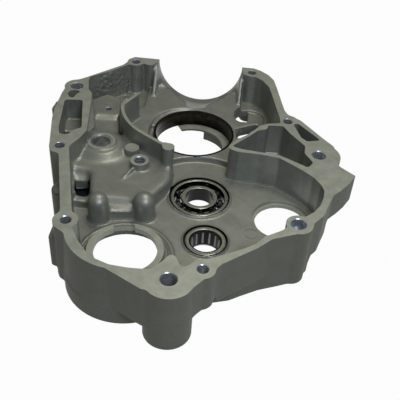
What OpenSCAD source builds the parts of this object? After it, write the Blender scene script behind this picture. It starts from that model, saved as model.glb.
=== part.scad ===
// Crankcase half of a small single cylinder engine, joint face up.
// Origin: crank axis, on the plane of the inner bearing faces. X runs along the cylinder face,
// Y points to the cylinder, Z points out of the joint face. All sizes are in millimetres.

/* [Case] */
// Height of the joint face above the bearing plane
joint_h = 26.5; // [22:0.5:34]
// Depth of the outer rim below the bearing plane
rim_drop = 20; // [18:0.5:28]
// Drop of the gearbox floor below the bearing plane
floor_drop = 1; // [0.5:0.5:3]
// Thickness of the floor
floor_t = 6; // [4:0.5:7]
// Thickness of the outer wall below the floor
wall_t = 5; // [4:0.5:6]
// Radius of the fillets between walls and bolt bosses
blend_r = 4; // [2:0.5:6]

/* [Cylinder spigot] */
// Distance from the crank axis to the cylinder face
face_y = 75; // [73:0.5:80]
// Radius of the spigot bore
spigot_r = 36.7; // [34:0.1:38]
// Offset of the cylinder axis from the crank axis
spigot_x = -2.6; // [-4:0.1:0]
// Thickness of the cylinder flange
flange_t = 7; // [5:0.5:9]

/* [Crank bearing seat] */
// Bore of the cast-in steel sleeve
crank_bore_d = 62; // [60:0.5:64]
// Wall thickness of the steel sleeve
sleeve_t = 1.75; // [1.5:0.25:3]
// Length of the steel sleeve
sleeve_l = 13; // [12:0.5:15]
// Height of the crank chamber floor above the bearing plane
chamber_h = 4; // [2:0.5:6]
// Outer radius of the curved wall left of the crank chamber
chamber_wall_r = 52.6; // [51.8:0.2:53.4]
// Thickness of that wall
chamber_wall_t = 2.6; // [2:0.2:3.4]
// Inner radius of the lip below the sleeve
lip_r = 24.5; // [23:0.5:27]
// Thickness of the lip below the sleeve
lip_t = 2.5; // [2:0.5:3]

/* [Ball bearing] */
// Place of the main shaft axis
main_shaft = [12, -76]; // [-100:0.5:100]
// Outer diameter of the ball bearing
ball_od = 42; // [40:0.5:44]
// Bore of the ball bearing
ball_id = 20; // [18:0.5:21]
// Width of the ball bearing
ball_w = 12; // [11:0.5:13]
// Ball diameter
ball_d = 6.35; // [6:0.05:6.6]
// Number of balls
ball_n = 9; // [7:1:10]
// Radius of the gear clearance round the main shaft
gear_r = 44; // [42:0.5:46]

/* [Needle bearing] */
// Place of the counter shaft axis
counter_shaft = [20.5, -121.5]; // [-130:0.5:100]
// Outer diameter of the needle bearing
needle_od = 28; // [27:0.5:30]
// Shaft diameter that the rollers run on
needle_shaft_d = 20; // [19:0.25:20]
// Width of the needle bearing
needle_w = 14; // [12:0.5:16]
// Wall thickness of the needle bearing's shell at the rollers
needle_shell_t = 1.48; // [1:0.02:1.6]
// Number of rollers
roller_n = 14; // [10:1:16]

/* [Starter bore] */
// Place of the large bore at the front left
drum = [-30.5, -143.5]; // [-150:0.5:0]
// Bore diameter there
drum_bore_d = 42; // [38:0.5:44]
// Outer radius of the round housing under the bore
drum_r = 40.5; // [40:0.5:42]
// Width of the key slot in the bore's rim
key_w = 14.5; // [12:0.5:18]

/* [Clutch lever bush] */
// Place of the bush
bush = [-67.2, -41]; // [-70:0.1:0]
// Height of the machined bosses round the bush above the bearing plane
boss_h = 16; // [14:0.5:18]
// Bore of the bush
bush_id = 13.5; // [12:0.25:14]
// Outer diameter of the bush
bush_od = 17; // [16:0.25:18]
// Length of the bush
bush_l = 12; // [10:0.5:14]

/* [Bolts] */
// Diameter of the case bolt holes
bolt_d = 7; // [6.5:0.25:8]
// Diameter of the dowel counterbores
dowel_d = 10; // [9:0.25:10.5]
// Depth of the dowel counterbores
dowel_depth = 8; // [6:0.5:12]
// Diameter of the engine mounting hole in the front pillar
pillar_d = 10.2; // [9:0.1:11]
// Radius of the front pillar
pillar_r = 15.5; // [14:0.5:17]
// Chamfer at the mouths of the holes
chamfer = 0.5; // [0.3:0.1:0.8]

/* [Hidden] */
$fn = 64;
eps = 0.01;

floor_z = -floor_drop;
under_z = floor_z - floor_t;
rim_z = -rim_drop;
case_h = joint_h + rim_drop;

// Bolt bosses on the joint face: place, boss radius
boss_cylinder_left = [-59, 67, 7.2];
boss_dowel_left = [-99.5, 17.5, 10];
boss_left = [-92.4, -65.6, 7.6];
boss_front_left = [-68.3, -143.5, 8.5];
boss_pillar = [2.9, -184.6, pillar_r];
boss_front = [22, -173.6, 8];
boss_dowel_right = [79.9, -124.5, 9.7];
boss_right = [96.3, -46, 16];
boss_back_right = [73.6, -4.6, 8.8];
boss_cylinder_right = [43, 67.5, 7.4];
BOSSES = [boss_cylinder_left, boss_dowel_left, boss_left, boss_front_left, boss_pillar,
          boss_front, boss_dowel_right, boss_right, boss_back_right, boss_cylinder_right];
// Radius of the bosses where they stand out into the cavity
INNER_BOSSES = [boss_cylinder_left, [-99.5, 17.5, 8], boss_left, [-68.3, -143.5, 8],
                boss_front, [79.9, -124.5, 8.3], boss_cylinder_right];

// Places on which a circle of radius r about c lies, from angle a to angle b
function arc(c, r, a, b, n) =
    [for (i = [0:n]) let (t = a + (b - a) * i / n) [c[0] + r * cos(t), c[1] + r * sin(t)]];

module at(p, z = 0) translate([p[0], p[1], z]) children();

// Prism over a flat outline, from height z0 up to height z1
module slab(z0, z1) translate([0, 0, z0]) linear_extrude(z1 - z0) children();

// Rounds the inner corners of an outline
module fillet_in(r) offset(r = -r) offset(delta = r) children();

// Rounds the outer corners of an outline
module fillet_out(r) offset(r = r) offset(delta = -r) children();

// Straight ring with a bore
module ring(r_out, r_in, z0, z1) {
    difference() {
        translate([0, 0, z0]) cylinder(r = r_out, h = z1 - z0);
        translate([0, 0, z0 - eps]) cylinder(r = r_in, h = z1 - z0 + 2 * eps);
    }
}

// Hole from the joint face down, with a chamfered mouth
module drilled(p, d, z0, z1) {
    at(p, z0) cylinder(d = d, h = z1 - z0 + eps);
    at(p, z1 - chamfer) cylinder(d1 = d, d2 = d + 2 * chamfer + 2 * eps, h = chamfer + eps);
}

// Outer outline of the joint face
module case_outline() {
    fillet_in(blend_r) {
        fillet_out(2.5) polygon(concat(
            [[-38, face_y], [-61, face_y], [-69, 59], [-96, 31.5], [-107, 22], [-108.8, 5],
             [-108.4, -20], [-106.9, -32.5], [-99.3, -69], [-97.3, -73.6], [-90.5, -75.2],
             [-73.5, -137], [-75, -150], [-66, -156]],
            arc(drum, drum_r - drum_draft, 205, 262, 8),
            [[-12, -194.5], [14, -194.5], [24, -181], [33, -168], [44, -159], [54, -151],
             [63, -141.5], [74, -136.5], [88, -130], [89.4, -123.4], [97, -113.5],
             [100.4, -103], [104.2, -92], [110.5, -84.6], [116, -77], [121.6, -66.8],
             [110.5, -57.2], [108.1, -33], [99.1, -21.9], [83.9, -1.5], [74.5, 4],
             [71.3, 10.5], [68.8, 23.4], [64.4, 47.2], [62.2, 57.5], [57.7, 65.4],
             [50.5, 72], [44, face_y], [28, face_y]]));
        polygon([[100, -95], [110.5, -84.6], [116, -77], [121.6, -66.8], [110.5, -57.2]]);
        translate([-61, face_y - 12]) square([104, 12]);
        for (b = BOSSES) translate([b[0], b[1]]) circle(r = b[2]);
    }
}

// Cavity of the joint face, with every inner wall left out of it
module cavity_outline() {
    fillet_out(2) difference() {
        fillet_in(2.5) polygon([
            [-39, 68], [-56, 66.5], [-64, 61], [-77, 46.5], [-92.5, 33.5], [-91.5, 25],
            [-89, 14.2], [-85.1, 8.4], [-83.2, -1.9], [-79.4, -30.4], [-77.4, -44],
            [-80, -53.5], [-85.5, -66], [-62, -151], [-56, -161.5],
            [-46.5, -173], [-34, -178], [-22, -179], [-9, -178.5], [-3, -171], [1.8, -163],
            [5, -166], [9, -174.5], [22, -166], [34, -159.5], [46.7, -152], [53, -147],
            [58.6, -139.5], [69, -132.5], [84, -117.3], [90, -111.5], [94.7, -104.2],
            [97.5, -95], [98.4, -87.2], [96.4, -81.2], [91.3, -73.3], [85.2, -67.7],
            [76.1, -60.8], [67.5, -54.5], [53, -52.3], [37, -51.9], [31, -49.6],
            [29.2, -45.5], [35.2, -36.6], [42.4, -29.1], [49, -19.8], [52, -14.5],
            [58.8, -10.4], [68, -8.5], [67.3, 0], [63.6, 18.5], [60.3, 36], [58, 46],
            [52.4, 55.5], [46.7, 60], [36, 63.5], [36, 68]]);
        for (b = INNER_BOSSES) translate([b[0], b[1]]) circle(r = b[2]);
    }
}

// Outline of the case below the floor, which the joint face overhangs in three places
module rim_outline() {
    difference() {
        case_outline();
        polygon([[90, -131], [93, -113.5], [96.2, -103], [99, -94], [104, -75], [107, -56],
                 [126, -55], [126, -131]]);
        // Between the pillar and the right front wall
        difference() {
            polygon([[14, -163], [22, -162], [29.4, -158.5], [40, -155], [47.5, -150],
                     [59, -143], [70, -138.3], [80, -136], [64, -160], [40, -205], [10, -205]]);
            at(boss_pillar) circle(r = pillar_r);
        }
        // Between the round housing and the pillar
        difference() {
            polygon([[-50, -178], [-6, -178], [-6, -205], [-50, -205]]);
            at(boss_pillar) circle(r = pillar_r);
            at(drum) circle(r = drum_r);
        }
    }
    at(drum) circle(r = drum_r);
}

// Pocket between the gearbox wall and the right flange
module teardrop_outline() {
    fillet_out(1.5) polygon([
        [31.8, -45.6], [45.5, -28.8], [50.2, -21.9], [57.5, -18.5], [58.5, -13], [70, -12],
        [75.7, -21.7], [86.5, -36], [85.8, -45.1], [91.8, -56], [88, -62.6], [74.4, -54.9],
        [66.5, -50.6], [53.8, -49.6], [39.6, -48]]);
}

// Corner flange at the right, which stands out over the rest of the case
module tab_outline() {
    polygon([[103.2, -94], [104, -75], [107, -56], [126, -55], [126, -96]]);
}

module triangle_outline() {
    fillet_out(1.2) polygon([[78, -8], [81.8, -6.4], [98.6, -26.6], [88, -29.6], [83.5, -25],
                             [81, -17]]);
}

module long_pocket_outline() {
    fillet_out(2) polygon([[-104, -5], [-90, -2.8], [-82, -41], [-87.5, -45], [-90, -51.5],
                           [-96.5, -51.5], [-99, -43]]);
}

module crescent_outline() {
    fillet_out(1.5) polygon([[-104, 4], [-103.3, 9], [-99.5, 11], [-94, 9.6], [-97, 5], [-98, -1],
                             [-101, -1]]);
}

// Crank chamber: the round part, and the part that runs back to the cylinder flange
module chamber_outline() {
    difference() {
        union() {
            circle(r = 56.5, $fn = 120);
            translate([-46, 0]) square([82, face_y - flange_t]);
        }
        translate(main_shaft) circle(r = gear_r);
    }
}

// Raised ground left of the crank chamber
module ground_outline() {
    polygon([[-96, -2], [-61.3, -2], [-57.3, -24.4], [-50.5, -29], [-45.8, -31.6],
             [-34.5, -41], [-14, -52.5], [-10, -58], [-10, -72], [-19, -90], [-24, -100.5],
             [-61, -100.5], [-65.5, -93], [-69, -74.5], [-71, -70], [-86, -70], [-82, -52]]);
}

module bush_boss() {
    at(bush, chamber_h) cylinder(r = 15, h = boss_h - chamber_h - 1);
    at(bush, boss_h - 9) cylinder(r1 = 25, r2 = 15, h = 8);
    at(bush, boss_h - 1 - eps) cylinder(r = 10.5, h = 1 + eps);
}

// Post with a domed top
module dome(p, r, top) {
    at(p, floor_z - eps) cylinder(r = r, h = top - r - floor_z + eps);
    at(p, top - r) sphere(r = r);
}

ground_h = 10;
plateau_h = 13;
drum_web_z = -2;
drum_draft = 2.5;
drum_ring_h = 2;
drum_recess_r = drum_bore_d / 2 + 6;
drum_skirt_z = -11;
terrace_h = 5;
ledge_h = 7;
strip_h = joint_h - 2.5;
tab_h = 4;
chamber_wall_c = [-6.7, 2.4];
disc_post = [-43, -45.4];
lever_boss = [-34.8, -60];
plateau_hole = [-72, 9];
wall_end = [-14.4, -54.2];
wall_end_r = 4.6;
seat_z = chamber_h - sleeve_l;
sleeve_r = crank_bore_d / 2 + sleeve_t;
hub_z = seat_z - lip_t;
hub_r = sleeve_r + 6;
hollow_z = -3;
relief_c = [-6.3, 5.5];
relief_r = 30;

// Oil hollows right of the crank bearing
module round_hollow() {
    translate([44.5, 36.5]) circle(r = 13);
    polygon([[31.6, 36], [31.6, 30], [34, 25], [37, 23.2], [43, 23.6], [46, 36]]);
}

module slant_hollow() {
    polygon([[33.6, 11.2], [39, 14.7], [51.8, 22], [53.5, 14], [44.4, 5.2], [37.4, -1.4],
             [35, -0.6]]);
}

// Outer edge of the curved wall: an arc, a slanted end at its back and a straight run to its post
module chamber_wall_outline() {
    fillet_out(4) intersection() {
        union() {
            translate(chamber_wall_c) circle(r = chamber_wall_r, $fn = 120);
            polygon([[-36.5, -41], [-18.2, -53.6], [-12, -47], [-30, -30]]);
        }
        polygon([[-63.6, -12.1], [-42.9, 27.9], [60, 60], [60, -60], [-63.6, -60]]);
    }
}

// Everything that stands up inside the joint face
module inner_forms() {
    // Crank chamber floor and wall
    slab(under_z, chamber_h) intersection() {
        chamber_outline();
        case_outline();
    }
    slab(under_z, joint_h) difference() {
        chamber_wall_outline();
        offset(delta = -chamber_wall_t) chamber_wall_outline();
        polygon([[-90, 60], [-66, 26], [-49, 15.5], [-30, 6], [-20, -30], [-16, -54], [-14, -90],
                 [80, -90], [80, 80], [-90, 80]]);
    }
    at(wall_end, under_z) cylinder(r = wall_end_r, h = joint_h - under_z);
    // Ground, plateau, mound and terraces
    slab(under_z, ground_h) intersection() {
        ground_outline();
        case_outline();
    }
    slab(under_z, plateau_h) intersection() {
        polygon([[-94, 16], [-85, 24], [-78, 31], [-66, 28], [-64.5, 22], [-61, -1], [-90, -2.2]]);
        case_outline();
    }
    intersection() {
        slab(under_z, boss_h) ground_outline();
        translate([0, -56, ground_h]) rotate([-1.5, 0, 0])
            translate([-110, -60, -30]) cube([110, 62, 30]);
    }
    slab(under_z, terrace_h) polygon([[-86, -69], [-62, -69], [-60, -100], [-76, -100]]);
    slab(under_z, ledge_h) polygon([[-62, -99], [-24, -99], [-26, -105.5], [-48, -109.5],
                                    [-62, -111]]);
    bush_boss();
    at(disc_post, chamber_h) cylinder(r = 5.5, h = boss_h - chamber_h);
    at(lever_boss, chamber_h) cylinder(r = 7, h = boss_h - chamber_h);
    dome([-55.5, -109], 7.5, 21);
    dome([-24.5, -102], 7.6, 19.5);
    // Machined rims round the bearings and the large bore
    at(main_shaft) ring(ball_od / 2 + 2.2, ball_od / 2, under_z, 0);
    at(counter_shaft) ring(needle_od / 2 + 1.8, needle_od / 2, under_z, 0);
    at(drum) ring(drum_recess_r + 1, drum_bore_d / 2, drum_web_z, drum_ring_h);
    at(drum) ring(32, 30, under_z, 0.5);
    // Strip beside the long pocket, a little below the joint face
    slab(ground_h - 1, strip_h) polygon([
        [-89, 6], [-83.6, 6], [-74.2, -31], [-73.4, -40], [-79, -42]]);
    // Column and gussets on the inner face of the cylinder flange
    at([-47, face_y - flange_t], under_z) cylinder(r = 5, h = joint_h - under_z);
    for (x = [-42.5, 32.5]) translate([x + 3, 0, 0]) rotate([90, 0, -90])
        linear_extrude(3) polygon([[-face_y, 26], [flange_t - face_y, 26], [-48, chamber_h - 1],
                                   [-48, under_z], [-face_y, under_z]]);
    // Small gusset of the lever boss
    translate(lever_boss) rotate(239.6) translate([3, -0.8, ground_h - 1])
        rotate([90, 0, 0]) translate([0, 0, -1.6]) linear_extrude(1.6)
            polygon([[0, 0], [18, 0], [18, 1.8], [6, 4.5], [0, 5]]);
}

// Ribs under the crank chamber, like spokes round the bearing housing
module crank_ribs() {
    for (a = [-15, 20, 60, 90, 230]) rotate(a)
        translate([sleeve_r + 1.5, -2, hub_z]) cube([20, 4, -hub_z]);
}

// Sector about the crank axis, from angle a to angle b
module sector(r, a, b, z0, z1) {
    slab(z0, z1) polygon(concat([[0, 0]], arc([0, 0], r, a, b, 12)));
}

// Side of the crank bearing seat that is open below the floor
module bearing_window() sector(60, 119, 205, rim_z - 1, seat_z);

// What stands below the floor: bearing housings, the round starter housing and ribs
module outer_forms() {
    crank_ribs();
    at(main_shaft) ring(ball_od / 2 + 5, ball_od / 2 - 3, -ball_w - 3, under_z + eps);
    at(counter_shaft) ring(needle_od / 2 + 4, needle_od / 2 - 2, -needle_w - 2, under_z + eps);
    ring(hub_r, lip_r, hub_z, under_z + eps);
    intersection() {
        ring(33, 27, rim_z, hub_z + eps);
        sector(40, -40, 76, rim_z - 1, under_z);
    }
    at(drum) ring(drum_r, drum_r - wall_t, drum_skirt_z, under_z + eps);
    // Skin under the spigot bore
    intersection() {
        translate([spigot_x, face_y, joint_h]) rotate([90, 0, 0])
            cylinder(r = spigot_r + 5.5, h = face_y - crank_bore_d / 2 - 5, $fn = 96);
        slab(rim_z, 0) case_outline();
    }
    // Lug and bulge on the left side
    slab(-14, 12) fillet_out(2.5) translate([-80.5, -147]) square([14, 13]);
    slab(rim_z, 9) translate([-83.5, -93]) circle(r = 9);
    at([-83.5, -93], 9 - eps) cylinder(r1 = 9, r2 = 6.5, h = 1.5);
    slab(8, 21) fillet_out(2) polygon([[-113.5, -12], [-113, 0], [-106, 3], [-106, -14]]);
}

// Hollows under the raised floors
module under_hollows() {
    slab(under_z - 1, ground_h - floor_t) difference() {
        offset(delta = -floor_t) ground_outline();
        at(bush) circle(r = 13);
        at(lever_boss) circle(r = 9);
    }
    difference() {
        translate([0, 0, under_z - 1]) cylinder(r = 52, h = chamber_h - floor_t - under_z + 1);
        translate([0, 0, under_z - 2]) cylinder(r = hub_r + 0.5, h = 30);
        slab(under_z - 2, 10) translate([-45, 36]) square([90, 40]);
        slab(under_z - 2, 10) translate(main_shaft) circle(r = gear_r + 3);
        crank_ribs();
        slab(under_z - 2, 10) offset(delta = 3) {
            round_hollow();
            slant_hollow();
        }
    }
    at(drum, rim_z - 1) cylinder(r = drum_r - wall_t, h = under_z - rim_z + 1);
    at(drum, rim_z - 1) cylinder(r = drum_recess_r, h = drum_web_z - rim_z + 1);
}

module case_casting() {
    color([0.52, 0.53, 0.47]) difference() {
        union() {
            difference() {
                union() {
                    slab(under_z, joint_h) case_outline();
                    slab(rim_z, under_z + eps) rim_outline();
                    at(drum, rim_z) cylinder(r1 = drum_r, r2 = drum_r - drum_draft, h = case_h);
                }
                slab(floor_z, joint_h + 1) cavity_outline();
                slab(rim_z - 1, under_z) offset(delta = -wall_t) rim_outline();
            }
            inner_forms();
            outer_forms();
            intersection() {
                slab(rim_z, under_z + 1) rim_outline();
                for (b = BOSSES) at(b, rim_z) cylinder(r = b[2] - 0.3, h = under_z + 1 - rim_z);
            }
        }
        under_hollows();
        // Room under the front bolt boss
        slab(rim_z - 1, -2) difference() {
            polygon([[14, -171], [22, -168.5], [31, -168.5], [36, -175], [36, -205], [10, -205]]);
            at(boss_pillar) circle(r = pillar_r);
        }
        // Pockets
        slab(0, joint_h + 1) teardrop_outline();
        slab(8, joint_h + 1) triangle_outline();
        slab(8, joint_h + 1) long_pocket_outline();
        slab(-4, 9) polygon([[-102, -22], [-94, -21], [-88.5, -43], [-93, -50], [-96, -50]]);
        // Window in the left terrace
        slab(-4, 20) polygon([[-80, -76.5], [-68.8, -75], [-65.5, -92.5], [-76, -94]]);
        // Oil hollows, each open to the outside at its left
        slab(hollow_z, 20) round_hollow();
        slab(rim_z, 0) intersection() {
            offset(delta = -0.3) round_hollow();
            translate([28, 20]) square([15, 30]);
        }
        slab(hollow_z, 20) slant_hollow();
        slab(rim_z, 0) intersection() {
            offset(delta = -0.3) slant_hollow();
            translate([30, -3]) square([17, 30]);
        }
        slab(rim_z - 1, -5) polygon([[36, 3], [36, 17.5], [46, 22.5], [46, 9]]);
        // Underside of the right corner
        slab(rim_z - 1, tab_h) tab_outline();
        slab(joint_h - 8, joint_h + 1) crescent_outline();
        // Spigot bore and the scoop to the crank chamber floor
        translate([spigot_x, face_y + 1, joint_h]) rotate([90, 0, 0])
            cylinder(r = spigot_r, h = flange_t + 2, $fn = 96);
        translate([spigot_x, face_y - flange_t, joint_h]) rotate([90, 0, 0])
            cylinder(r1 = spigot_r, r2 = joint_h - chamber_h, h = face_y - flange_t - 36, $fn = 96);
        // Bearing seats
        translate([0, 0, seat_z]) cylinder(r = sleeve_r, h = 60);
        translate([0, 0, rim_z - 1]) cylinder(r = lip_r, h = 60);
        bearing_window();
        // Relief of the chamber floor at the back left of the sleeve, and a deeper oil groove
        at(relief_c, chamber_h - 2) cylinder(r = relief_r, h = 3);
        sector(37, 168, 206, chamber_h - 5, chamber_h + 1);
        at(main_shaft, -ball_w) cylinder(d = ball_od, h = 60);
        at(main_shaft, rim_z - 1) cylinder(d = ball_od - 6, h = 60);
        at(counter_shaft, -needle_w) cylinder(d = needle_od, h = 60);
        at(counter_shaft, rim_z - 1) cylinder(d = needle_od - 4, h = 60);
        at(drum, rim_z - 1) cylinder(d = drum_bore_d, h = 60);
        at(drum, drum_web_z - 1) rotate(12) translate([-key_w / 2, 0, 0])
            cube([key_w, drum_recess_r - 0.5, 10]);
        at([72, -90], rim_z - 1) cylinder(r = 19, h = 60);
        at([72.6, -90], floor_z - 3) cylinder(r = 21, h = 20);
        // Bush and inner bosses
        at(bush, boss_h - bush_l) cylinder(d = bush_od, h = 40);
        drilled(lever_boss, 8, 2, boss_h);
        drilled(plateau_hole, 5, 2, plateau_h);
        // Bolt holes
        for (b = [boss_cylinder_left, boss_left, boss_front_left, boss_front, boss_back_right,
                  boss_cylinder_right])
            drilled(b, bolt_d, rim_z - 1, joint_h);
        for (b = [boss_dowel_left, boss_dowel_right]) {
            drilled(b, bolt_d, rim_z - 1, joint_h);
            drilled(b, dowel_d, joint_h - dowel_depth, joint_h);
        }
        drilled(boss_right, dowel_d, joint_h - dowel_depth, joint_h);
        drilled(boss_right, bolt_d, rim_z - 1, joint_h);
        drilled(boss_pillar, pillar_d, rim_z - 1, joint_h);
    }
}

module crank_bearing_sleeve() {
    color([0.25, 0.25, 0.26]) ring(sleeve_r, crank_bore_d / 2, seat_z, chamber_h);
}

ball_pitch_r = (ball_od + ball_id) / 4;
race_clear = 0.02;
groove_r = ball_d / 2 + race_clear;
inner_groove = 0.875;
outer_groove = 0.075;
inner_race_r = ball_pitch_r - ball_d / 2 + inner_groove;
outer_race_r = ball_pitch_r + ball_d / 2 - outer_groove;
race_edge = 0.6;

// Half section of a race ring between two radii, with the ball groove
module race(r0, r1) {
    color([0.6, 0.6, 0.55]) at(main_shaft, -ball_w / 2) difference() {
        rotate_extrude() translate([r0, -ball_w / 2]) fillet_out(race_edge) square([r1 - r0, ball_w]);
        rotate_extrude() translate([ball_pitch_r, 0]) circle(r = groove_r);
    }
}

module ball_outer_race() race(outer_race_r, ball_od / 2);

module ball_inner_race() race(ball_id / 2, inner_race_r);

cage_r0 = ball_pitch_r - 1.1;
cage_r1 = ball_pitch_r + 1.7;
cage_t = 0.5;
cage_clear = 0.15;
cage_gap = 0.02;
cage_step = 0.05;

// One ribbon of the cage: flat between the balls, with a pocket over each ball
module cage_half(up) {
    color([0.35, 0.34, 0.32]) at(main_shaft, -ball_w / 2) mirror([0, 0, up ? 0 : 1]) difference() {
        union() {
            rotate(180 / ball_n) ring(cage_r1 - cage_step, cage_r0 + cage_step, cage_gap, cage_t);
            for (i = [0:ball_n - 1]) rotate(i * 360 / ball_n) intersection() {
                rotate(180 / ball_n) ring(cage_r1, cage_r0, cage_gap, ball_w / 2);
                rotate([0, 90, 0]) cylinder(d = ball_d + 2 * cage_clear + 2 * cage_t, h = ball_od / 2);
            }
        }
        for (i = [0:ball_n - 1]) rotate(i * 360 / ball_n) rotate([0, 90, 0])
            cylinder(d = ball_d + 2 * cage_clear, h = ball_od / 2);
        for (i = [0:ball_n - 1]) rotate((i + 0.5) * 360 / ball_n)
            translate([ball_pitch_r, 0, -1]) cylinder(d = 1, h = 3);
    }
}

module ball_cage_upper() cage_half(true);

module ball_cage_lower() cage_half(false);

module ball_cage_rivets() {
    color([0.5, 0.5, 0.48]) at(main_shaft, -ball_w / 2)
        for (i = [0:ball_n - 1]) rotate((i + 0.5) * 360 / ball_n) translate([ball_pitch_r, 0, 0]) {
            cylinder(d = 1, h = 2 * cage_t, center = true);
            for (s = [0, 1]) mirror([0, 0, s]) translate([0, 0, cage_t]) cylinder(d = 1.8, h = 0.5);
        }
}

module ball(i) {
    color([0.8, 0.8, 0.8]) at(main_shaft, -ball_w / 2) rotate((i - 1) * 360 / ball_n)
        translate([ball_pitch_r, 0, 0]) sphere(d = ball_d);
}

raceway_r = needle_od / 2 - needle_shell_t;
roller_d = raceway_r - race_clear - needle_shaft_d / 2;
roller_pitch_r = (needle_shaft_d + roller_d) / 2;
needle_lip_r = roller_pitch_r - 0.02 * roller_d;
needle_cage_r0 = roller_pitch_r - 0.4 * roller_d;
needle_cage_r1 = roller_pitch_r - 0.08 * roller_d;
roller_l = needle_w - 4;
shell_edge = 0.5;

module needle_outer_ring() {
    color([0.6, 0.6, 0.55]) at(counter_shaft, -needle_w / 2) difference() {
        rotate_extrude() translate([needle_lip_r, -needle_w / 2])
            fillet_out(shell_edge) square([needle_od / 2 - needle_lip_r, needle_w]);
        cylinder(r = raceway_r, h = roller_l + 0.4, center = true);
    }
}

module needle_cage() {
    color([0.2, 0.2, 0.2]) at(counter_shaft, -needle_w / 2) difference() {
        cylinder(r = needle_cage_r1, h = needle_w - 1, center = true);
        cylinder(r = needle_cage_r0, h = needle_w, center = true);
        for (i = [0:roller_n - 1]) rotate(i * 360 / roller_n) translate([roller_pitch_r, 0, 0])
            cylinder(d = roller_d + 0.1, h = roller_l + 0.2, center = true);
    }
}

module needle_roller(i) {
    color([0.75, 0.75, 0.76]) at(counter_shaft, -needle_w / 2) rotate((i - 1) * 360 / roller_n)
        translate([roller_pitch_r, 0, 0]) cylinder(d = roller_d, h = roller_l, center = true);
}

module shaft_bush() {
    color([0.7, 0.66, 0.55]) at(bush)
        ring(bush_od / 2, bush_id / 2, boss_h - bush_l, boss_h - 0.5);
}

case_casting();
crank_bearing_sleeve();
ball_outer_race();
ball_inner_race();
ball_cage_upper();
ball_cage_lower();
ball_cage_rivets();
needle_outer_ring();
needle_cage();
shaft_bush();
for (i = [1:ball_n]) ball(i);
for (i = [1:roller_n]) needle_roller(i);
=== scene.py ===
"""Dresses the crankcase half: the casting gets its cast skin and its machined faces, and every
piece gets the finish of the real one. Lengths are in millimetres until they are placed."""
import math

import bmesh
import bpy
import numpy as np
from mathutils import Matrix, Vector
from mathutils.bvhtree import BVHTree


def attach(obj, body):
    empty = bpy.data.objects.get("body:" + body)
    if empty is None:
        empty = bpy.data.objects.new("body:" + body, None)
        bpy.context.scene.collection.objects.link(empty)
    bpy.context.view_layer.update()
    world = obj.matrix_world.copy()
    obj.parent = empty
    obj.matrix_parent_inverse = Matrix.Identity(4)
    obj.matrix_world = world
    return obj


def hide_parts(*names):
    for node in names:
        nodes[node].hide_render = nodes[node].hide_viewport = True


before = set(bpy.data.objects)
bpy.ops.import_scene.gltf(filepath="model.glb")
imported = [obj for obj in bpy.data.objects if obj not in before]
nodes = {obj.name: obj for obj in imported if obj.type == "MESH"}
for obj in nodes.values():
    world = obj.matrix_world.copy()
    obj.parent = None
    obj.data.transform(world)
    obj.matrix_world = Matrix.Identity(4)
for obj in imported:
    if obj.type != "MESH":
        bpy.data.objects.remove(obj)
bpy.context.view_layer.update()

MM = 0.001

# Planes of the casting, as in the solids
JOINT_Z = 26.5
RIM_Z = -20.0
FLANGE_Y = 75.0
FLANGE_T = 7.0
FLOOR_Z = -1.0
SEAT_Z = -9.0
BOSS_Z = 16.0
MOUND_Z = 11.0

# Places of the casting's holes and posts, as in the solids
BOLT_HOLES = [(-59, 67), (-92.4, -65.6), (-68.3, -143.5), (73.6, -4.6), (43, 67.5)]
FRONT_HOLE = (22, -173.6)
DOWEL_HOLES = [(-99.5, 17.5), (79.9, -124.5), (96.3, -46)]
PILLAR = (2.9, -184.6)
CRANK = (0, 0)
MAIN_SHAFT = (12, -76)
COUNTER_SHAFT = (20.5, -121.5)
DRUM = (-30.5, -143.5)
BUSH = (-67.2, -41)
DISC_POST = (-43, -45.4)
LEVER_BOSS = (-34.8, -60)
PLATEAU_HOLE = (-72, 9)
RIGHT_HOLE = (72.3, -90)

# Sizes of the holes, the sleeve's seat and the spigot
CHAMFER = 0.5
BOLT_R = 3.5
DOWEL_R = 5.0
DOWEL_DEPTH = 8.0
PILLAR_R = 5.1
SLEEVE_R = 32.75
BUSH_R = 8.5
LEVER_R = 4.0
PLATEAU_R = 2.5
SPIGOT_X = -2.6
SPIGOT_R = 36.7

# Ring of the starter bore, with a keyway and a recess under it
DRUM_R = 21.0
DRUM_RING_R = 25.1
DRUM_RING_Z = 6.0
DRUM_RECESS_Z = 2.0
KEY_WIDTH = 14.5
KEY_LENGTH = 26.5
KEY_TURN = 12.0

# Bearing seats: place, radius below the shoulder, the shoulder's height, radius above it
BEARING_SEATS = [(MAIN_SHAFT, 18, -12, 21), (COUNTER_SHAFT, 12, -14, 14)]
# The same three sizes of the opening at the right
RIGHT_HOLE_STEP = (19, -4, 21)

# Marks that the photograph shows on the casting
TERRACE_PIT = (-73, -84.3)
PIT_SIZE = (10.8, 16.4)
PIT_Z = -5.5
PIT_TURN = 12.0
EJECTOR_MARK = (51.2, -109)
EJECTOR_RADII = (4.3, 4.9)
EJECTOR_DEPTH = 0.3
# Middle of the lumpy patch of wall, and how far from it the lumps start to fade and are gone
ROUGH_WALL = (-75, 50, 10)
ROUGH_REACH = (14, 24)

# Narrow grooves round the bearings, their faces painted near black as shade: place, inner and
# outer radius, bottom
GROOVES = [(MAIN_SHAFT, 20.9, 22.3, -2.0), (COUNTER_SHAFT, 13.9, 15.3, -2.0)]
# Faces milled flat on bosses: place, radius, height
PADS = [(BUSH, 10.5, BOSS_Z), (DISC_POST, 5.5, BOSS_Z), (LEVER_BOSS, 7.0, BOSS_Z),
        (DRUM, DRUM_RING_R, DRUM_RING_Z)]

# Metal that the blank has over every face that is machined
ALLOWANCE = 3.0
# Where the cutters of through holes start, and how far those of the flat faces reach
BELOW = RIM_Z - 2 * ALLOWANCE
FAR = 400
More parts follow.
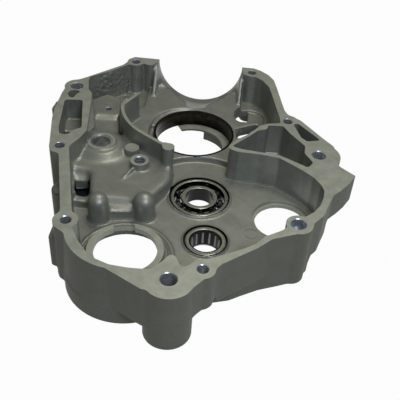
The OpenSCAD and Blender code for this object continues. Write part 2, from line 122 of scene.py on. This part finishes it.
# Blank: size of the voxels, steps of its roundings and its number of triangles
VOXEL = 0.75
SMOOTHING_STEPS = 9
SOFT_STEPS = 110
CASTING_TRIANGLES = 170000

# Edge round the top of the mound: x, y, z
MOUND = [(-84, -70, 10), (-71, -70, 10), (-69, -74.5, 10.3), (-65.5, -93, 10.7), (-61, -100, 11),
         (-44, -100.5, 11), (-24, -100, 11), (-19, -90, 10.5), (-10.5, -72, 10), (-10.5, -58, 10),
         (-15, -53, 10)]
# Crease where the spigot's scoop runs out on the inner face of the flange
SCOOP = [(SPIGOT_X + SPIGOT_R * math.cos(math.radians(t)), FLANGE_Y - FLANGE_T,
          JOINT_Z + SPIGOT_R * math.sin(math.radians(t))) for t in range(200, 341, 10)]
# Foot of the bush's boss
FOOT_R = 20
FOOT = [(BUSH[0] + FOOT_R * math.cos(t * math.pi / 8), BUSH[1] + FOOT_R * math.sin(t * math.pi / 8),
         MOUND_Z) for t in range(17)]
STEP = [(-78, -1, 11.5), (-62, -1, 11.5)]
# Edges that the mould leaves well rounded: from, to, reach
SOFT_EDGES = [(a, b, reach) for edge, reach in ((MOUND, 10.0), (SCOOP, 6.0), (FOOT, 7.0), (STEP, 4.0))
              for a, b in zip(edge, edge[1:])]
# Posts that keep their shape: place, radius
CRISP_POSTS = [((-55.5, -109), 7.5), ((-24.5, -102), 7.6), (DISC_POST, 5.5), (LEVER_BOSS, 7.0)]

# Finishes of the casting, in the order of its material slots
CAST_SKIN, MILLED_FACE, BORED_WALL, SHADED_OUTER_SKIN, SHADED_RECESS = range(5)


# Meshes

def new_object(name, bm, *materials):
    """Object with the mesh of bm, its place in its vertices."""
    mesh = bpy.data.meshes.new(name)
    bm.to_mesh(mesh)
    bm.free()
    for m in materials:
        mesh.materials.append(m)
    obj = bpy.data.objects.new(name, mesh)
    bpy.context.scene.collection.objects.link(obj)
    return obj


def circle_of_verts(bm, place, r, z, segments):
    """Vertices round the upright axis at place, or the one on it."""
    x, y = place
    if r == 0:
        return [bm.verts.new(Vector((x, y, z)) * MM)]
    turns = [2 * math.pi * i / segments for i in range(segments)]
    return [bm.verts.new(Vector((x + r * math.cos(t), y + r * math.sin(t), z)) * MM) for t in turns]


def band(bm, low, high, segments, finish):
    """Faces between two rows of vertices. A row may be a single vertex."""
    for i in range(segments):
        j = (i + 1) % segments
        corners = [low[i % len(low)], low[j % len(low)], high[j % len(high)], high[i % len(high)]]
        bm.faces.new(list(dict.fromkeys(corners))).material_index = finish


def turned(bm, place, profile, segments=96, finish=CAST_SKIN):
    """Adds a closed solid, turned about the upright axis at place. profile runs from its lowest
    (radius, height) to its highest and starts and ends on the axis."""
    rows = [circle_of_verts(bm, place, r, z, segments) for r, z in profile]
    for low, high in zip(rows, rows[1:]):
        band(bm, low, high, segments, finish)


def groove(bm, place, inner, outer, low, high, finish=CAST_SKIN, segments=96):
    """Adds a ring with a square section, as the cutter of a groove."""
    section = [(inner, low), (outer, low), (outer, high), (inner, high)]
    rows = [circle_of_verts(bm, place, r, z, segments) for r, z in section]
    for row, following in zip(rows, rows[1:] + rows[:1]):
        band(bm, row, following, segments, finish)


def block(bm, low, high, finish):
    """Adds a box between two corners."""
    centre = (Vector(low) + Vector(high)) / 2 * MM
    size = (Vector(high) - Vector(low)) * MM
    made = bmesh.ops.create_cube(bm, size=1)
    for v in made["verts"]:
        v.co = Vector(a * b for a, b in zip(v.co, size)) + centre
    for face in {f for v in made["verts"] for f in v.link_faces}:
        face.material_index = finish


def put(bm, place, degrees):
    """Turns what is in bm by degrees and moves it from the origin to place."""
    there = Matrix.Translation(Vector((*place, 0)) * MM)
    bmesh.ops.transform(bm, verts=bm.verts,
                        matrix=there @ Matrix.Rotation(math.radians(degrees), 4, "Z"))


def cylinder_profile(r, low, high):
    return [(0, low), (r, low), (r, high), (0, high)]


def stepped_profile(first, step, second, top):
    """Through hole of radius first, and of radius second above the height step."""
    return [(0, BELOW), (first, BELOW), (first, step), (second, step), (second, top), (0, top)]


def chamfered_profile(r, bottom, mouth):
    """Hole with a chamfer at its mouth."""
    wide, top = r + CHAMFER, mouth + 2 * ALLOWANCE
    return [(0, bottom), (r, bottom), (r, mouth - CHAMFER), (wide, mouth), (wide, top), (0, top)]


def evaluated(obj):
    """Plain mesh of obj with its modifiers applied."""
    graph = bpy.context.evaluated_depsgraph_get()
    mesh = bpy.data.meshes.new_from_object(obj.evaluated_get(graph), depsgraph=graph)
    obj.modifiers.clear()
    old, obj.data = obj.data, mesh
    bpy.data.meshes.remove(old)


def cut(obj, bm):
    """Cuts the solids in bm out of obj. The new faces keep the finish of the cutter's."""
    cutter = new_object("cutter", bm, *obj.data.materials)
    step = obj.modifiers.new("cut", "BOOLEAN")
    step.operation = "DIFFERENCE"
    step.solver = "MANIFOLD"
    step.object = cutter
    evaluated(obj)
    bpy.data.objects.remove(cutter)


# Materials

def srgb(code):
    """Linear colour of an sRGB hex code."""
    values = [int(code[i:i + 2], 16) / 255 for i in (0, 2, 4)]
    return (*[v / 12.92 if v <= 0.04045 else ((v + 0.055) / 1.055) ** 2.4 for v in values], 1)


def add(tree, kind, inputs=None, **settings):
    """Adds a node. An input takes a value, or the output that it is linked to."""
    made = tree.nodes.new(kind)
    for key, value in settings.items():
        setattr(made, key, value)
    for key, value in (inputs or {}).items():
        if isinstance(value, bpy.types.NodeSocket):
            tree.links.new(value, made.inputs[key])
        else:
            made.inputs[key].default_value = value
    return made


def material(name, **constants):
    """Material with the shader's constants set on its own sockets, and its Object coordinates."""
    mat = bpy.data.materials.new(name)
    mat.use_nodes = True
    tree = mat.node_tree
    shader = tree.nodes["Principled BSDF"]
    for key, value in constants.items():
        shader.inputs[key.replace("_", " ")].default_value = value
    place = add(tree, "ShaderNodeTexCoord").outputs["Object"]
    return mat, tree, shader, place


def grain_scale(mm):
    """Scale of a noise or cell pattern whose features are about mm across."""
    return 1 / (mm * MM)


def wave_scale(mm):
    """Scale of a wave pattern whose lines are mm apart. Blender's repeats every pi / 10."""
    return math.pi / 10 / (mm * MM)


def cast_aluminium(name, metallic, low, high, speckle, rough):
    """Die cast aluminium, tumbled: a dull olive grey skin, slightly pitted, with faint flow marks
    and darker clouds where the release agent stayed. One patch of wall is lumpy."""
    mat, tree, shader, place = material(name, Metallic=metallic, Specular_IOR_Level=0.3)
    flow = add(tree, "ShaderNodeTexNoise",
               {"Vector": place, "Scale": grain_scale(13), "Detail": 5, "Roughness": 0.6,
                "Distortion": 0.6}).outputs["Fac"]
    grain = add(tree, "ShaderNodeTexNoise",
                {"Vector": place, "Scale": grain_scale(0.8), "Detail": 3}).outputs["Fac"]
    pits = add(tree, "ShaderNodeTexVoronoi",
               {"Vector": place, "Scale": grain_scale(1.7)}).outputs["Distance"]
    clouds = add(tree, "ShaderNodeMapRange",
                 {"Value": flow, "From Min": 0.35, "From Max": 0.68}).outputs["Result"]
    skin = add(tree, "ShaderNodeMix", {"Factor": clouds, 6: srgb(low), 7: srgb(high)},
               data_type="RGBA").outputs[2]
    speck = add(tree, "ShaderNodeMapRange",
                {"Value": grain, "From Min": 0.3, "From Max": 0.7, "To Min": 0.0,
                 "To Max": 0.5}).outputs["Result"]
    skin = add(tree, "ShaderNodeMix", {"Factor": speck, 6: skin, 7: srgb(speckle)},
               data_type="RGBA").outputs[2]
    tree.links.new(skin, shader.inputs["Base Color"])
    dull = add(tree, "ShaderNodeMapRange",
               {"Value": flow, "To Min": rough - 0.07, "To Max": rough + 0.1}).outputs["Result"]
    tree.links.new(dull, shader.inputs["Roughness"])
    pitted = add(tree, "ShaderNodeBump",
                 {"Height": pits, "Distance": 0.05 * MM, "Strength": 0.5}).outputs["Normal"]
    grained = add(tree, "ShaderNodeBump",
                  {"Height": grain, "Distance": 0.12 * MM, "Strength": 0.6,
                   "Normal": pitted}).outputs["Normal"]
    lumps = add(tree, "ShaderNodeTexNoise",
                {"Vector": place, "Scale": grain_scale(3.2), "Detail": 2}).outputs["Fac"]
    away = add(tree, "ShaderNodeVectorMath", {0: place, 1: Vector(ROUGH_WALL) * MM},
               operation="DISTANCE").outputs["Value"]
    patch = add(tree, "ShaderNodeMapRange",
                {"Value": away, "From Min": ROUGH_REACH[0] * MM, "From Max": ROUGH_REACH[1] * MM,
                 "To Min": 1.0, "To Max": 0.0}).outputs["Result"]
    lumps = add(tree, "ShaderNodeMath", {0: lumps, 1: patch}, operation="MULTIPLY").outputs["Value"]
    lumpy = add(tree, "ShaderNodeBump",
                {"Height": lumps, "Distance": 2.5 * MM, "Strength": 1.0,
                 "Normal": grained}).outputs["Normal"]
    tree.links.new(lumpy, shader.inputs["Normal"])
    return mat


def milled_aluminium():
    """Joint and boss faces milled flat: paler and brighter than the skin, with a lay in one
    direction and faint stains. The lay is drawn coarser than a real one, so that it shows."""
    mat, tree, shader, place = material("milled_aluminium", Metallic=0.35,
                                        Specular_IOR_Level=0.4)
    stretched = add(tree, "ShaderNodeMapping", {"Vector": place, "Scale": (0.06, 1.0, 1.0)},
                    vector_type="POINT").outputs["Vector"]
    lay = add(tree, "ShaderNodeTexNoise",
              {"Vector": stretched, "Scale": grain_scale(0.5), "Detail": 2}).outputs["Fac"]
    stain = add(tree, "ShaderNodeTexNoise",
                {"Vector": place, "Scale": grain_scale(9), "Detail": 5,
                 "Roughness": 0.62}).outputs["Fac"]
    patchy = add(tree, "ShaderNodeMapRange",
                 {"Value": stain, "From Min": 0.35, "From Max": 0.65}).outputs["Result"]
    tone = add(tree, "ShaderNodeMix", {"Factor": patchy, 6: srgb("8d9084"), 7: srgb("9ea193")},
               data_type="RGBA").outputs[2]
    tree.links.new(tone, shader.inputs["Base Color"])
    gloss = add(tree, "ShaderNodeMapRange",
                {"Value": lay, "To Min": 0.36, "To Max": 0.54}).outputs["Result"]
    tree.links.new(gloss, shader.inputs["Roughness"])
    lined = add(tree, "ShaderNodeBump",
                {"Height": lay, "Distance": 0.02 * MM, "Strength": 0.5}).outputs["Normal"]
    tree.links.new(lined, shader.inputs["Normal"])
    return mat


def bored_aluminium():
    """Drilled and reamed holes: brighter than the milled faces, partly as fresh bored metal and
    partly as painted highlight of the glints inside the bores, with rings up the bore. Real drill
    marks are finer than a millimetre and wouldn't show, so they are drawn 2.8 mm apart."""
    mat, tree, shader, place = material("bored_aluminium", Metallic=0.7)
    rings = add(tree, "ShaderNodeTexWave",
                {"Vector": place, "Scale": wave_scale(2.83), "Distortion": 0.6,
                 "Detail": 2.0}, wave_type="BANDS", bands_direction="Z").outputs["Fac"]
    smear = add(tree, "ShaderNodeTexNoise",
                {"Vector": place, "Scale": grain_scale(2.2), "Detail": 3}).outputs["Fac"]
    # Pale tones: partly the bore's own bright metal, partly painted highlight
    tone = add(tree, "ShaderNodeMix", {"Factor": smear, 6: srgb("9a9ea0"), 7: srgb("c6cacc")},
               data_type="RGBA").outputs[2]
    tree.links.new(tone, shader.inputs["Base Color"])
    gloss = add(tree, "ShaderNodeMapRange",
                {"Value": rings, "To Min": 0.2, "To Max": 0.36}).outputs["Result"]
    tree.links.new(gloss, shader.inputs["Roughness"])
    ringed = add(tree, "ShaderNodeBump",
                 {"Height": rings, "Distance": 0.01 * MM, "Strength": 0.6}).outputs["Normal"]
    tree.links.new(ringed, shader.inputs["Normal"])
    return mat


# Ball bearing: just past its bore, and the middle and half width of the track between its rings;
# bore and track are painted near black as shade
RACE_BORE_R = 10.1
TRACK_R = 15.9
TRACK_HALF = 2.75


def turned_steel(name, dark, light, rough, centre, spacing=2.2, up_bore=False, metallic=1.0,
                 track=False):
    """Steel turned or ground about its own axis. Tool marks run in rings round centre, or one
    above the other up the bore, under a little tarnish. They are drawn coarser than real ones, so
    that they show. A race's bore and track are smoother, and painted near black as the shade inside
    the bore and between the rings."""
    mat, tree, shader, place = material(name, Metallic=metallic)
    centred = add(tree, "ShaderNodeMapping",
                  {"Vector": place, "Location": (-centre[0] * MM, -centre[1] * MM, 0)},
                  vector_type="POINT").outputs["Vector"]
    marks = {"bands_direction": "Z", "wave_type": "BANDS"} if up_bore else {
        "rings_direction": "Z", "wave_type": "RINGS"}
    lines = add(tree, "ShaderNodeTexWave",
                {"Vector": centred, "Scale": wave_scale(spacing), "Distortion": 0.5,
                 "Detail": 1.5}, **marks).outputs["Fac"]
    tarnish = add(tree, "ShaderNodeTexNoise",
                  {"Vector": place, "Scale": grain_scale(4), "Detail": 3}).outputs["Fac"]
    worn = add(tree, "ShaderNodeMapRange",
               {"Value": tarnish, "From Min": 0.35, "From Max": 0.65}).outputs["Result"]
    tone = add(tree, "ShaderNodeMix", {"Factor": worn, 6: srgb(dark), 7: srgb(light)},
               data_type="RGBA").outputs[2]
    gloss = add(tree, "ShaderNodeMapRange",
                {"Value": lines, "To Min": rough * 0.8, "To Max": rough * 1.3}).outputs["Result"]
    if track:
        flat = add(tree, "ShaderNodeVectorMath", {0: centred, 1: (1, 1, 0)},
                   operation="MULTIPLY").outputs["Vector"]
        away = add(tree, "ShaderNodeVectorMath", {0: flat}, operation="LENGTH").outputs["Value"]
        in_bore = add(tree, "ShaderNodeMath", {0: away, 1: RACE_BORE_R * MM},
                      operation="LESS_THAN").outputs["Value"]
        on_track = add(tree, "ShaderNodeMath", {0: away, 1: TRACK_R * MM, 2: TRACK_HALF * MM},
                       operation="COMPARE").outputs["Value"]
        shade_mask = add(tree, "ShaderNodeMath", {0: in_bore, 1: on_track},
                     operation="MAXIMUM").outputs["Value"]
        # Painted shade: bore and track near black, as the shade of the bore and the gap between the
        # rings
        tone = add(tree, "ShaderNodeMix", {"Factor": shade_mask, 6: tone, 7: srgb("1f1f1e")},
                   data_type="RGBA").outputs[2]
        gloss = add(tree, "ShaderNodeMix", {"Factor": shade_mask, 2: gloss, 3: 0.13}).outputs[0]
    tree.links.new(tone, shader.inputs["Base Color"])
    tree.links.new(gloss, shader.inputs["Roughness"])
    grooved = add(tree, "ShaderNodeBump",
                  {"Height": lines, "Distance": 0.01 * MM, "Strength": 0.5}).outputs["Normal"]
    tree.links.new(grooved, shader.inputs["Normal"])
    return mat


def polished_steel(name, dark, light, rough=0.14):
    """Bearing balls and rollers: ground or lapped chrome steel, with a trace of oil."""
    mat, tree, shader, place = material(name, Metallic=1.0)
    film = add(tree, "ShaderNodeTexNoise",
               {"Vector": place, "Scale": grain_scale(2.5), "Detail": 2}).outputs["Fac"]
    tone = add(tree, "ShaderNodeMix", {"Factor": film, 6: srgb(dark), 7: srgb(light)},
               data_type="RGBA").outputs[2]
    tree.links.new(tone, shader.inputs["Base Color"])
    gloss = add(tree, "ShaderNodeMapRange",
                {"Value": film, "To Min": 0.6 * rough, "To Max": 1.4 * rough}).outputs["Result"]
    tree.links.new(gloss, shader.inputs["Roughness"])
    return mat


def oiled_metal_and_painted_shade(name, dark, light):
    """Dark, half gloss metal with small dents: oiled cage sheet and rivets, and recesses whose dark
    colour is painted shade.
    """
    mat, tree, shader, place = material(name, Metallic=0.9)
    film = add(tree, "ShaderNodeTexNoise",
               {"Vector": place, "Scale": grain_scale(1.6), "Detail": 3}).outputs["Fac"]
    tone = add(tree, "ShaderNodeMix", {"Factor": film, 6: srgb(dark), 7: srgb(light)},
               data_type="RGBA").outputs[2]
    tree.links.new(tone, shader.inputs["Base Color"])
    gloss = add(tree, "ShaderNodeMapRange",
                {"Value": film, "To Min": 0.3, "To Max": 0.5}).outputs["Result"]
    tree.links.new(gloss, shader.inputs["Roughness"])
    dented = add(tree, "ShaderNodeBump",
                 {"Height": film, "Distance": 0.02 * MM, "Strength": 0.4}).outputs["Normal"]
    tree.links.new(dented, shader.inputs["Normal"])
    return mat


CASTING_FINISHES = {
    CAST_SKIN: cast_aluminium("cast_aluminium", 0.55, "7a7c74", "8c8e85", "979990", 0.41),
    MILLED_FACE: milled_aluminium(),
    BORED_WALL: bored_aluminium(),
    # Outer skin: rougher and duller, its darker colours painted shade of the outer walls
    SHADED_OUTER_SKIN: cast_aluminium("outer_cast_aluminium_painted_shade", 0.2, "5f6055", "6d6e62", "77786c", 0.6),
    # Near black colour painted as the shade deep in the bearing grooves and the terrace pit
    SHADED_RECESS: oiled_metal_and_painted_shade("recess_painted_shade", "212426", "303336"),
}


# Casting

def hole_profiles():
    """Every bored hole: place, profile of what the cutter takes, from the lowest up."""
    holes = [(p, chamfered_profile(BOLT_R, BELOW, JOINT_Z)) for p in [*BOLT_HOLES, FRONT_HOLE]]
    dowel_seat = JOINT_Z - DOWEL_DEPTH
    holes += [(p, [(0, BELOW), (BOLT_R, BELOW), (BOLT_R, dowel_seat)]
               + chamfered_profile(DOWEL_R, dowel_seat, JOINT_Z)[1:]) for p in DOWEL_HOLES]
    holes += [(PILLAR, chamfered_profile(PILLAR_R, BELOW, JOINT_Z))]
    holes += [(p, stepped_profile(*radii_and_step, 8)) for p, *radii_and_step in BEARING_SEATS]
    holes += [(BUSH, cylinder_profile(BUSH_R, 4, 22)),
              (LEVER_BOSS, chamfered_profile(LEVER_R, 2, BOSS_Z)),
              (PLATEAU_HOLE, chamfered_profile(PLATEAU_R, 2, 13))]
    return holes


def plugs():
    """Solids that fill the holes of the blank: place, radius, lowest, highest, segments."""
    low, high = RIM_Z - ALLOWANCE, JOINT_Z + ALLOWANCE
    made = [(p, BOLT_R + 1, low, high, 32) for p in BOLT_HOLES]
    made += [(FRONT_HOLE, BOLT_R + 1, 0, high, 32)]
    made += [(p, DOWEL_R + 1, low, high, 32) for p in DOWEL_HOLES]
    made += [(PILLAR, PILLAR_R + 1, low, high, 32)]
    made += [(p, r, z - 4, z + ALLOWANCE, 64) for p, r, z in PADS]
    made += [(CRANK, SLEEVE_R - 0.5, SEAT_Z + 1, 3.9, 96),
             (MAIN_SHAFT, 22, -15, 1, 64),
             (COUNTER_SHAFT, 15, -16, 1, 64),
             (DRUM, DRUM_RING_R + 0.3, -1.9, DRUM_RING_Z, 96),
             (BUSH, BUSH_R + 0.5, 3, 17, 48),
             (LEVER_BOSS, LEVER_R + 1, 1, 17, 32),
             (PLATEAU_HOLE, PLATEAU_R + 1, 1, 12.9, 32),
             (RIGHT_HOLE, 22, -6.9, -1.1, 64)]
    return made


def soften(blank):
    """Rounds the edges in SOFT_EDGES more than the rest, and leaves CRISP_POSTS as they are."""
    points = np.empty(len(blank.data.vertices) * 3, dtype=np.float32)
    blank.data.vertices.foreach_get("co", points)
    points = points.reshape(-1, 3) / MM
    weight = np.zeros(len(points))
    for start, end, reach in SOFT_EDGES:
        start, along = np.array(start), np.array(end) - np.array(start)
        t = np.clip((points - start) @ along / (along @ along), 0, 1)
        away = np.linalg.norm(points - start - t[:, None] * along, axis=1)
        weight = np.maximum(weight, np.clip((reach - away) / (0.4 * reach), 0, 1))
    for (x, y), r in CRISP_POSTS:
        away = np.hypot(points[:, 0] - x, points[:, 1] - y)
        weight = np.minimum(weight, np.clip((away - r - 0.5) / 2, 0, 1))
    group = blank.vertex_groups.new(name="soft")
    for level in range(1, 11):
        chosen = np.flatnonzero(np.round(weight * 10) == level)
        group.add(chosen.tolist(), level / 10, "REPLACE")
    smooth = blank.modifiers.new("softened", "SMOOTH")
    smooth.factor, smooth.iterations, smooth.vertex_group = 0.5, SOFT_STEPS, "soft"
    evaluated(blank)


def casting_blank():
    """The casting as it leaves the mould: no holes, with metal to machine off on every milled
    face, its edges and corners rounded."""
    bm = bmesh.new()
    bm.from_mesh(nodes["case_casting"].data)
    bmesh.ops.remove_doubles(bm, verts=bm.verts, dist=1e-6)
    for v in bm.verts:
        if v.co.z > (JOINT_Z - 0.01) * MM:
            v.co.z += ALLOWANCE * MM
        if v.co.z < (RIM_Z + 0.01) * MM:
            v.co.z -= ALLOWANCE * MM
        if v.co.y > (FLANGE_Y - 0.01) * MM:
            v.co.y += ALLOWANCE * MM
    for place, r, low, high, segments in plugs():
        turned(bm, place, cylinder_profile(r, low, high), segments)
    blank = new_object("casting", bm)
    remesh = blank.modifiers.new("voxels", "REMESH")
    remesh.mode, remesh.voxel_size = "VOXEL", VOXEL * MM
    evaluated(blank)
    soften(blank)
    smooth = blank.modifiers.new("rounded", "SMOOTH")
    smooth.factor, smooth.iterations = 0.5, SMOOTHING_STEPS
    evaluated(blank)
    triangles = sum(len(p.vertices) - 2 for p in blank.data.polygons)
    thin = blank.modifiers.new("thinned", "DECIMATE")
    thin.ratio = min(1, CASTING_TRIANGLES / triangles)
    evaluated(blank)
    return blank


def machined(blank):
    """Mills the flat faces and bores the holes of the blank."""
    blank.data.materials.clear()
    for finish in CASTING_FINISHES.values():
        blank.data.materials.append(finish)
    for low, high in [((-FAR, -FAR, JOINT_Z), (FAR, FAR, FAR)),
                      ((-FAR, FLANGE_Y, -FAR), (FAR, FAR, FAR)),
                      ((-FAR, -FAR, -FAR), (FAR, FAR, RIM_Z))]:
        bm = bmesh.new()
        block(bm, low, high, MILLED_FACE)
        cut(blank, bm)
    bm = bmesh.new()
    for place, r, z in PADS:
        turned(bm, place, cylinder_profile(r + 0.3, z, z + 5), 96, MILLED_FACE)
    cut(blank, bm)
    bm = bmesh.new()
    for place, profile in hole_profiles():
        turned(bm, place, profile, 96, BORED_WALL)
    turned(bm, CRANK, cylinder_profile(SLEEVE_R, SEAT_Z, 12), 128, MILLED_FACE)
    turned(bm, DRUM, stepped_profile(DRUM_RING_R + 0.5, DRUM_RECESS_Z, DRUM_R, 12), 128, MILLED_FACE)
    turned(bm, RIGHT_HOLE, stepped_profile(*RIGHT_HOLE_STEP, 6), 96, MILLED_FACE)
    cut(blank, bm)
    bm = bmesh.new()
    for place, inner, outer, bottom in GROOVES:
        # Groove faces get the painted shade of a deep recess
        groove(bm, place, inner, outer, bottom, 6, SHADED_RECESS)
    groove(bm, EJECTOR_MARK, *EJECTOR_RADII, FLOOR_Z - EJECTOR_DEPTH, 6)
    cut(blank, bm)
    bm = bmesh.new()
    # The pit's faces get the painted shade of a deep recess
    block(bm, (-PIT_SIZE[0] / 2, -PIT_SIZE[1] / 2, PIT_Z), (PIT_SIZE[0] / 2, PIT_SIZE[1] / 2, 8),
          SHADED_RECESS)
    put(bm, TERRACE_PIT, PIT_TURN)
    cut(blank, bm)
    bm = bmesh.new()
    block(bm, (-KEY_WIDTH / 2, 0, -3), (KEY_WIDTH / 2, KEY_LENGTH, 8), MILLED_FACE)
    put(bm, DRUM, KEY_TURN)
    cut(blank, bm)
    return blank


def mark_shaded_outer_skin(obj):
    """Gives the cast faces that look outwards, with nothing of the casting before them, the
    duller skin of the outside, whose darker colour is painted shade of the outer walls."""
    bm = bmesh.new()
    bm.from_mesh(obj.data)
    bm.faces.ensure_lookup_table()
    tree = BVHTree.FromBMesh(bm)
    outside = []
    for face in bm.faces:
        out = Vector((face.normal.x, face.normal.y, 0))
        if face.material_index != CAST_SKIN or out.length < 0.5:
            continue
        out.normalize()
        middle = face.calc_center_median()
        if middle.z < 0 or tree.ray_cast(middle + out * 0.5 * MM, out)[0] is None:
            outside.append(face.index)
    bm.free()
    for i in outside:
        obj.data.polygons[i].material_index = SHADED_OUTER_SKIN


casting = machined(casting_blank())
mark_shaded_outer_skin(casting)
casting.data.shade_smooth()
casting.data.set_sharp_from_angle(angle=math.radians(35))
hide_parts("case_casting")
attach(casting, "case")


# Finishes of the solids that stay

race_steel = turned_steel("ground_race_steel", "8b8d80", "a3a596", 0.26, MAIN_SHAFT, metallic=0.8,
                          track=True)
shell_steel = turned_steel("drawn_shell_steel", "898b7f", "a0a294", 0.3, COUNTER_SHAFT,
                           metallic=0.8)
sleeve_steel = turned_steel("turned_sleeve_steel", "161511", "25231c", 0.32, CRANK, spacing=5.03,
                            up_bore=True)
bush_steel = turned_steel("turned_bush_steel", "a3a59e", "c2c4bd", 0.2, BUSH, metallic=0.8)
ball_steel = polished_steel("polished_ball_steel", "a4a5a5", "c4c5c4")
roller_steel = polished_steel("ground_roller_steel", "5c5d5b", "757674", 0.22)
cage_steel = oiled_metal_and_painted_shade("pressed_cage_steel", "1d1d1f", "2c2c2f")
needle_cage_steel = oiled_metal_and_painted_shade("blackened_cage_steel", "131314", "1f1f20")
rivet_steel = oiled_metal_and_painted_shade("rivet_steel", "5a5a56", "74746f")

FINISHES = {
    "crank_bearing_sleeve": sleeve_steel,
    "ball_outer_race": race_steel,
    "ball_inner_race": race_steel,
    "ball_cage_upper": cage_steel,
    "ball_cage_lower": cage_steel,
    "ball_cage_rivets": rivet_steel,
    "needle_outer_ring": shell_steel,
    "needle_cage": needle_cage_steel,
    "shaft_bush": bush_steel,
}
for name in nodes:
    if name.startswith("needle_roller_"):
        FINISHES[name] = roller_steel
    elif name.startswith("ball_") and name[5:].isdigit():
        FINISHES[name] = ball_steel
for name, finish in FINISHES.items():
    nodes[name].data.materials.clear()
    nodes[name].data.materials.append(finish)


# Floor, light and camera

# Floor: gap under the rim, half its width, and how much of what is seen of it is plain white
FLOOR_GAP = 0.2
FLOOR_REACH = 3000
WHITE_SHARE = 0.975
# Soft boxes: place, width, watts, colour
LAMPS = {"overhead": ((90, 60, 700), 260, 1.95, "fff8e8"),
         "window": ((200, -480, 470), 260, 2.3, "dde7fb")}
LAMP_TARGET = (0, -60, 0)
SKY_STRENGTH = 0.3
# The photograph's view: eye, degrees of its bearing, pitch and roll, lens on a 36 mm frame
EYE = (30.1, -446.5, 310.46)
BEARING, PITCH, ROLL = 2.7, 40.2, 4.2
LENS, FRAME = 59.4, 36


def backdrop_rays(tree):
    """1 for the camera, glossy and transmission rays, which see the plain white backdrop."""
    path = add(tree, "ShaderNodeLightPath").outputs
    seen = add(tree, "ShaderNodeMath", {0: path["Is Camera Ray"], 1: path["Is Glossy Ray"]},
               operation="MAXIMUM").outputs["Value"]
    seen = add(tree, "ShaderNodeMath", {0: seen, 1: path["Is Transmission Ray"]},
               operation="MAXIMUM").outputs["Value"]
    return seen


def floor():
    """Pale table that keeps the casting's shadow."""
    bm = bmesh.new()
    bmesh.ops.create_grid(bm, x_segments=1, y_segments=1, size=FLOOR_REACH * MM,
                          matrix=Matrix.Translation((0, 0, (RIM_Z - FLOOR_GAP) * MM)))
    mat = bpy.data.materials.new("pale_table")
    mat.use_nodes = True
    tree = mat.node_tree
    shader = tree.nodes["Principled BSDF"]
    shader.inputs["Base Color"].default_value = srgb("5c5c5b")
    shader.inputs["Roughness"].default_value = 0.9
    shader.inputs["Specular IOR Level"].default_value = 0.1
    white = add(tree, "ShaderNodeEmission", {"Color": (1, 1, 1, 1), "Strength": 1.0})
    share = add(tree, "ShaderNodeMath", {0: backdrop_rays(tree), 1: WHITE_SHARE},
                operation="MULTIPLY").outputs["Value"]
    mixed = add(tree, "ShaderNodeMixShader",
                {"Fac": share, 1: shader.outputs["BSDF"], 2: white.outputs["Emission"]})
    tree.links.new(mixed.outputs["Shader"], tree.nodes["Material Output"].inputs["Surface"])
    table = new_object("table", bm, mat)


def sky():
    """Soft studio dome, brighter overhead than at the sides."""
    world = bpy.data.worlds.new("studio")
    bpy.context.scene.world = world
    world.use_nodes = True
    tree = world.node_tree
    light = tree.nodes["Background"]
    height = add(tree, "ShaderNodeSeparateXYZ",
                 {"Vector": add(tree, "ShaderNodeTexCoord").outputs["Generated"]}).outputs["Z"]
    level = add(tree, "ShaderNodeMapRange",
                {"Value": height, "From Min": 0.0, "From Max": 0.9}).outputs["Result"]
    tint = add(tree, "ShaderNodeMix", {"Factor": level, 6: srgb("65799a"), 7: srgb("fffaf0")},
               data_type="RGBA").outputs[2]
    tree.links.new(tint, light.inputs["Color"])
    light.inputs["Strength"].default_value = SKY_STRENGTH
    white = add(tree, "ShaderNodeBackground", {"Color": (1, 1, 1, 1), "Strength": 1.0})
    path = add(tree, "ShaderNodeLightPath").outputs
    mixed = add(tree, "ShaderNodeMixShader",
                {"Fac": path["Is Camera Ray"], 1: light.outputs["Background"],
                 2: white.outputs["Background"]})
    tree.links.new(mixed.outputs["Shader"], tree.nodes["World Output"].inputs["Surface"])


def lamp(name, place, width, watts, colour):
    """Square soft box at place, aimed at LAMP_TARGET."""
    data = bpy.data.lights.new(name, "AREA")
    data.size, data.energy, data.color = width * MM, watts, srgb(colour)[:3]
    obj = bpy.data.objects.new(name, data)
    bpy.context.scene.collection.objects.link(obj)
    obj.location = Vector(place) * MM
    obj.rotation_euler = (Vector(LAMP_TARGET) - Vector(place)).to_track_quat("-Z", "Y").to_euler()


def camera():
    data = bpy.data.cameras.new("camera")
    data.lens, data.sensor_width = LENS, FRAME
    data.clip_start, data.clip_end = 0.01, 10
    obj = bpy.data.objects.new("camera", data)
    bpy.context.scene.collection.objects.link(obj)
    turn = (Matrix.Rotation(math.radians(BEARING), 4, "Z")
            @ Matrix.Rotation(math.radians(90 - PITCH), 4, "X")
            @ Matrix.Rotation(math.radians(ROLL), 4, "Z"))
    obj.matrix_world = Matrix.Translation(Vector(EYE) * MM) @ turn
    bpy.context.scene.camera = obj


floor()
sky()
for name, settings in LAMPS.items():
    lamp(name, *settings)
camera()
bpy.context.scene.view_settings.view_transform = "Standard"
